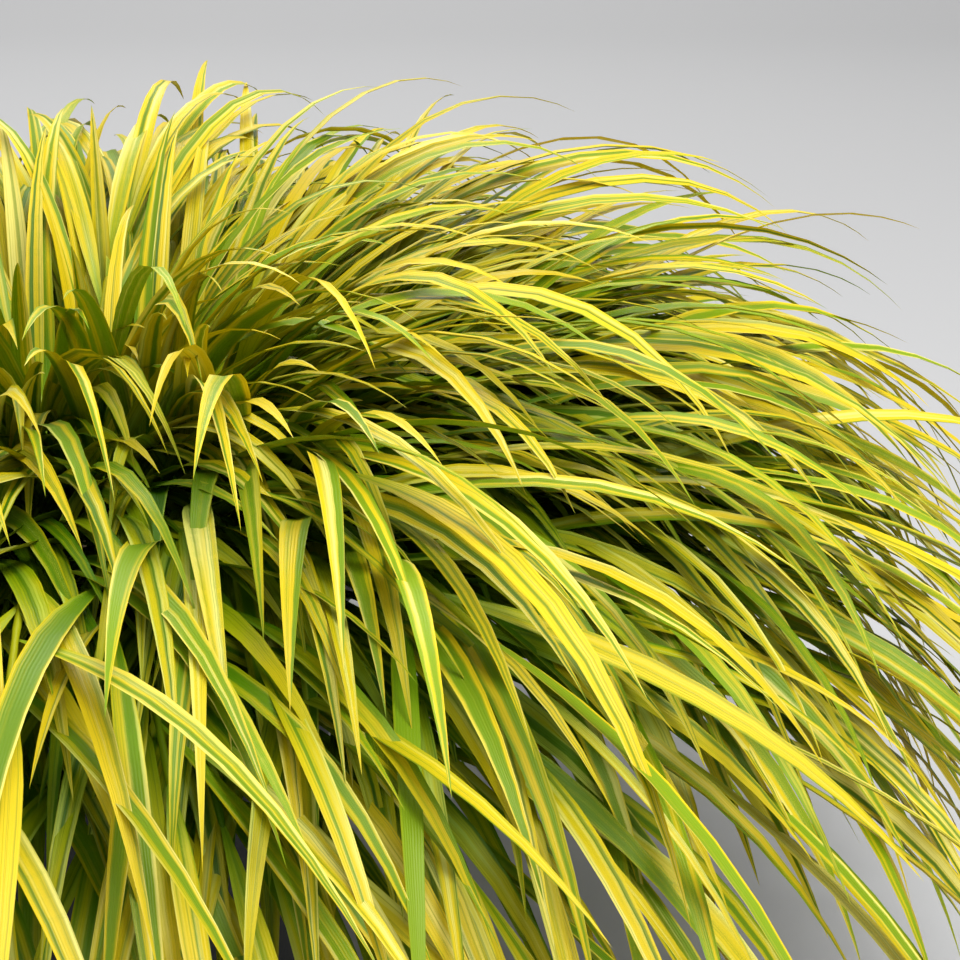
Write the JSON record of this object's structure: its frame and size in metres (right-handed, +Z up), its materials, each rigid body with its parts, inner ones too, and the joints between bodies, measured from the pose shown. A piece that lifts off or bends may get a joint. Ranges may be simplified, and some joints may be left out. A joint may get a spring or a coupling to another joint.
{
  "type": "japanese forest grass",
  "caption": "Arching clump of narrow, yellow leaf blades with green stripes on wiry stems, spilling all round a plain round pot of soil.",
  "frame": {"origin": "centre of the pot's underside, on the surface that the pot stands on", "axes": "+Z up through the pot's middle; +X and +Y level, the plant being much the same all round"},
  "size_m": [0.8885, 0.897, 0.4025],
  "materials": {
    "foliage": "satin living leaf, yellow with green stripes",
    "pot": "matt charcoal",
    "soil": "loose, crumbly and matt"
  },
  "bodies": {
    "root": {"pot": "pot", "soil": "soil", "leafy_stem_01": "foliage", "leafy_stem_02": "foliage", "leafy_stem_03": "foliage", "leafy_stem_04": "foliage", "leafy_stem_05": "foliage", "leafy_stem_06": "foliage", "leafy_stem_07": "foliage", "leafy_stem_08": "foliage", "leafy_stem_09": "foliage", "leafy_stem_10": "foliage", "leafy_stem_11": "foliage", "leafy_stem_12": "foliage", "leafy_stem_13": "foliage", "leafy_stem_14": "foliage", "leafy_stem_15": "foliage", "leafy_stem_16": "foliage", "leafy_stem_17": "foliage", "leafy_stem_18": "foliage", "leafy_stem_19": "foliage", "leafy_stem_20": "foliage", "leafy_stem_21": "foliage", "leafy_stem_22": "foliage", "leafy_stem_23": "foliage", "leafy_stem_24": "foliage", "leafy_stem_25": "foliage", "leafy_stem_26": "foliage", "leafy_stem_27": "foliage", "leafy_stem_28": "foliage", "leafy_stem_29": "foliage", "leafy_stem_30": "foliage", "leafy_stem_31": "foliage", "leafy_stem_32": "foliage", "leafy_stem_33": "foliage", "leafy_stem_34": "foliage", "leafy_stem_35": "foliage", "leafy_stem_36": "foliage", "leafy_stem_37": "foliage", "leafy_stem_38": "foliage", "leafy_stem_39": "foliage", "leafy_stem_40": "foliage", "leafy_stem_41": "foliage", "leafy_stem_42": "foliage", "leafy_stem_43": "foliage", "leafy_stem_44": "foliage", "leafy_stem_45": "foliage", "leafy_stem_46": "foliage", "leafy_stem_47": "foliage", "leafy_stem_48": "foliage", "leafy_stem_49": "foliage", "leafy_stem_50": "foliage", "leafy_stem_51": "foliage", "leafy_stem_52": "foliage", "leafy_stem_53": "foliage", "leafy_stem_54": "foliage", "leafy_stem_55": "foliage", "leafy_stem_56": "foliage", "leafy_stem_57": "foliage"}
  },
  "joints": []
}
